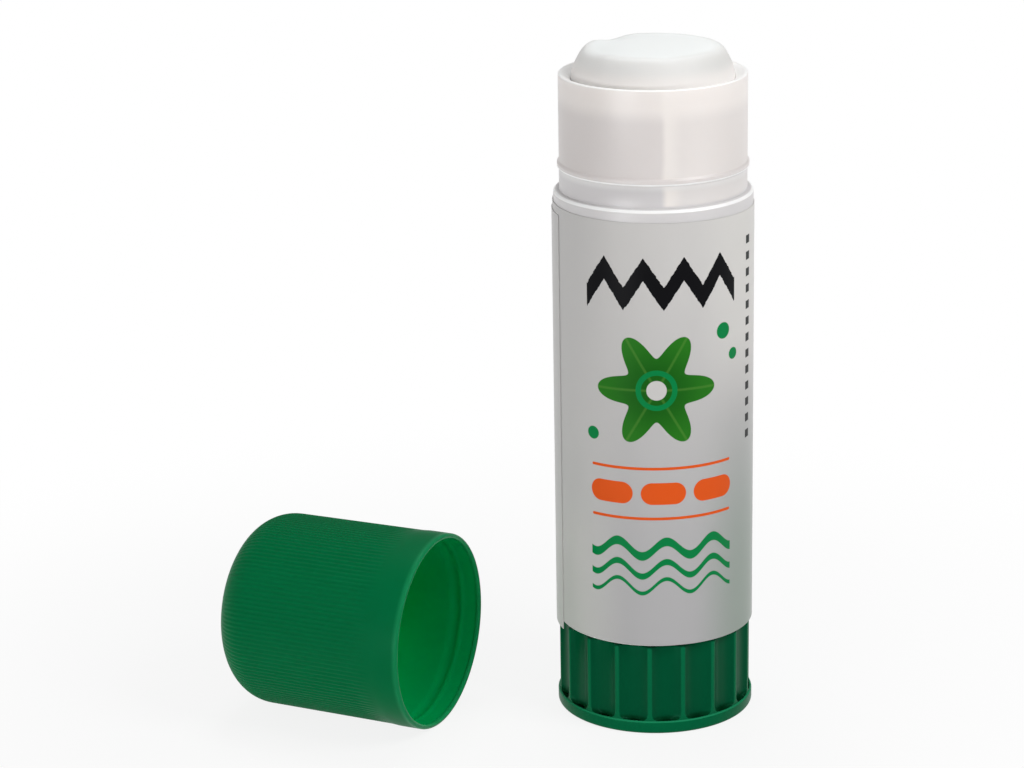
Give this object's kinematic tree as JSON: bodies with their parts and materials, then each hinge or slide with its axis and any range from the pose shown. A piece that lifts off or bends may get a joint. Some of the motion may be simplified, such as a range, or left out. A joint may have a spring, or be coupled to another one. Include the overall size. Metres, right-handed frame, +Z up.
{
  "type": "glue stick",
  "caption": "Twist-up glue stick: a fluted base knob turns a screw that lifts the glue out of a labelled white barrel; its ribbed green cap lies beside it.",
  "frame": {"origin": "middle of the base knob's flat standing face", "axes": "+Z up along the barrel, towards the glue; -Y is the front of the label, as pictured; +X is to the right of it, and the cap lies on the -X side"},
  "size_m": [0.0811, 0.0396, 0.1029],
  "materials": {
    "barrel_white": "milky translucent moulded polypropylene, satin",
    "label_film": "white printed film, glossy",
    "knob_green": "dark green moulded polypropylene, satin gloss",
    "cap_green": "green moulded polypropylene, satin gloss",
    "inner_white": "white moulded polypropylene, plain",
    "glue_white": "white waxy solid glue, slightly moist"
  },
  "bodies": {
    "barrel": {"barrel": "barrel_white", "label": "label_film"},
    "knob": {"base_knob": "knob_green", "feed_screw": "inner_white"},
    "glue": {"carrier": "inner_white", "glue_core": "glue_white"},
    "cap": {"cap": "cap_green"}
  },
  "joints": [
    {"name": "knob_turn", "type": "hinge", "parent": "barrel", "child": "knob", "pos_m": [0, 0, 0], "axis": [0, 0, 1], "range_deg": [-432.1, 4140.1]},
    {"name": "glue_feed", "type": "slide", "parent": "barrel", "child": "glue", "axis": [0, 0, 1], "range_m": [-0.006, 0.0575]},
    {"name": "cap_lift", "type": "slide", "parent": "barrel", "child": "cap", "axis": [0, 0, 1], "range_m": [0, 0.12]}
  ],
  "couplings": [
    {"joint": "knob_turn", "follows": "glue_feed", "rad_per_m": 1256.6}
  ]
}
